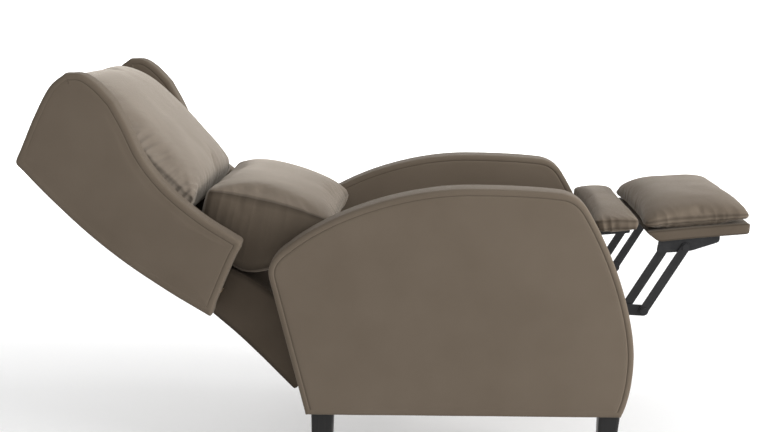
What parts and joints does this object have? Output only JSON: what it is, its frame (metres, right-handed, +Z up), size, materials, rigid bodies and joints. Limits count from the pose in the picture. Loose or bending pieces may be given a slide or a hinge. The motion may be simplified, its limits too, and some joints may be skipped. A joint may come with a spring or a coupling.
{
  "type": "recliner armchair",
  "caption": "Wing-back recliner armchair on tapered legs, shown fully reclined; the back swings up and the linked footrest folds down in front of the seat.",
  "frame": {"origin": "middle of the chair's length and width on the floor, in the reclined rest pose", "axes": "+Z up, the chair faces -Y, its right arm is at -X"},
  "size_m": [0.74, 1.6222, 0.8738],
  "materials": {
    "upholstery": "taupe suede-like microfibre over foam",
    "frame_timber": "plain sawn timber and plywood",
    "black_wood": "black satin lacquer",
    "black_steel": "black powder coat",
    "bright_steel": "zinc plated",
    "webbing": "woven elastic webbing",
    "glide_plastic": "black moulded plastic"
  },
  "bodies": {
    "base": {"arm_cover_left": "upholstery", "arm_cover_right": "upholstery", "arm_frame_left": "frame_timber", "arm_frame_right": "frame_timber", "back_pivot_bolt_left": "bright_steel", "back_pivot_bolt_right": "bright_steel", "base_front_rail": "frame_timber", "base_rear_rail": "frame_timber", "glide_front_left": "glide_plastic", "glide_front_right": "glide_plastic", "glide_rear_left": "glide_plastic", "glide_rear_right": "glide_plastic", "leg_front_left": "black_wood", "leg_front_right": "black_wood", "leg_rear_left": "black_wood", "leg_rear_right": "black_wood", "mechanism_plate_left": "black_steel", "mechanism_plate_right": "black_steel", "mid_pad_hinge_rod": "black_steel", "seat_cushion": "upholstery", "seat_front_rail": "frame_timber", "seat_rear_rail": "frame_timber", "seat_side_rail_left": "frame_timber", "seat_side_rail_right": "frame_timber", "seat_spring_1": "bright_steel", "seat_spring_2": "bright_steel", "seat_spring_3": "bright_steel", "seat_spring_4": "bright_steel"},
    "backrest": {"back_bracket_left": "black_steel", "back_bracket_right": "black_steel", "back_outer_panel": "upholstery", "back_post_left": "frame_timber", "back_post_right": "frame_timber", "back_rail_lower": "frame_timber", "back_rail_upper": "frame_timber", "back_strap_1": "webbing", "back_strap_2": "webbing", "back_strap_3": "webbing", "back_top_roll": "upholstery", "head_cushion": "upholstery", "lower_back_pad": "upholstery", "lumbar_cushion": "upholstery", "wing_board_left": "frame_timber", "wing_board_right": "frame_timber", "wing_cover_left": "upholstery", "wing_cover_right": "upholstery"},
    "carrier": {"carrier_bar_left": "black_steel", "carrier_bar_right": "black_steel", "carrier_cross_bar": "black_steel"},
    "front_link_right": {"front_link_right": "black_steel"},
    "front_link_left": {"front_link_left": "black_steel"},
    "rear_link_right": {"rear_link_right": "black_steel"},
    "rear_link_left": {"rear_link_left": "black_steel"},
    "footrest": {"footrest_board": "upholstery", "footrest_bracket_left": "black_steel", "footrest_bracket_right": "black_steel", "footrest_pad": "upholstery"},
    "mid_pad": {"mid_pad": "upholstery", "mid_pad_arm_left": "black_steel", "mid_pad_arm_right": "black_steel"}
  },
  "joints": [
    {"name": "back_recline", "type": "hinge", "parent": "base", "child": "backrest", "pos_m": [0, 0.08083, 0.187], "axis": [1, 0, 0], "range_deg": [0, 32]},
    {"name": "footrest_open", "type": "hinge", "parent": "base", "child": "carrier", "pos_m": [0, -0.37217, 0.342], "axis": [1, 0, 0], "range_deg": [0, 94.59]},
    {"name": "front_link_turn_right", "type": "hinge", "parent": "carrier", "child": "front_link_right", "pos_m": [-0.262, -0.58317, 0.331], "axis": [-1, 0, 0], "range_deg": [0, 96.8]},
    {"name": "front_link_turn_left", "type": "hinge", "parent": "carrier", "child": "front_link_left", "pos_m": [0.262, -0.58317, 0.331], "axis": [-1, 0, 0], "range_deg": [0, 96.8]},
    {"name": "rear_link_turn_right", "type": "hinge", "parent": "carrier", "child": "rear_link_right", "pos_m": [-0.252, -0.53817, 0.328], "axis": [-1, 0, 0], "range_deg": [0, 96.8]},
    {"name": "rear_link_turn_left", "type": "hinge", "parent": "carrier", "child": "rear_link_left", "pos_m": [0.252, -0.53817, 0.328], "axis": [-1, 0, 0], "range_deg": [0, 96.8]},
    {"name": "footrest_turn", "type": "hinge", "parent": "front_link_right", "child": "footrest", "pos_m": [0, -0.67317, 0.477], "axis": [1, 0, 0], "range_deg": [0, 96.8]},
    {"name": "mid_pad_fold", "type": "hinge", "parent": "base", "child": "mid_pad", "pos_m": [0, -0.46217, 0.492], "axis": [1, 0, 0], "range_deg": [0, 94.89]}
  ],
  "couplings": [
    {"joint": "front_link_turn_right", "follows": "footrest_open", "ratio": 1.0232},
    {"joint": "front_link_turn_left", "follows": "footrest_open", "ratio": 1.0232},
    {"joint": "rear_link_turn_right", "follows": "footrest_open", "ratio": 1.0232},
    {"joint": "rear_link_turn_left", "follows": "footrest_open", "ratio": 1.0232},
    {"joint": "footrest_turn", "follows": "footrest_open", "ratio": 1.0232},
    {"joint": "mid_pad_fold", "follows": "footrest_open", "ratio": 1.003}
  ]
}
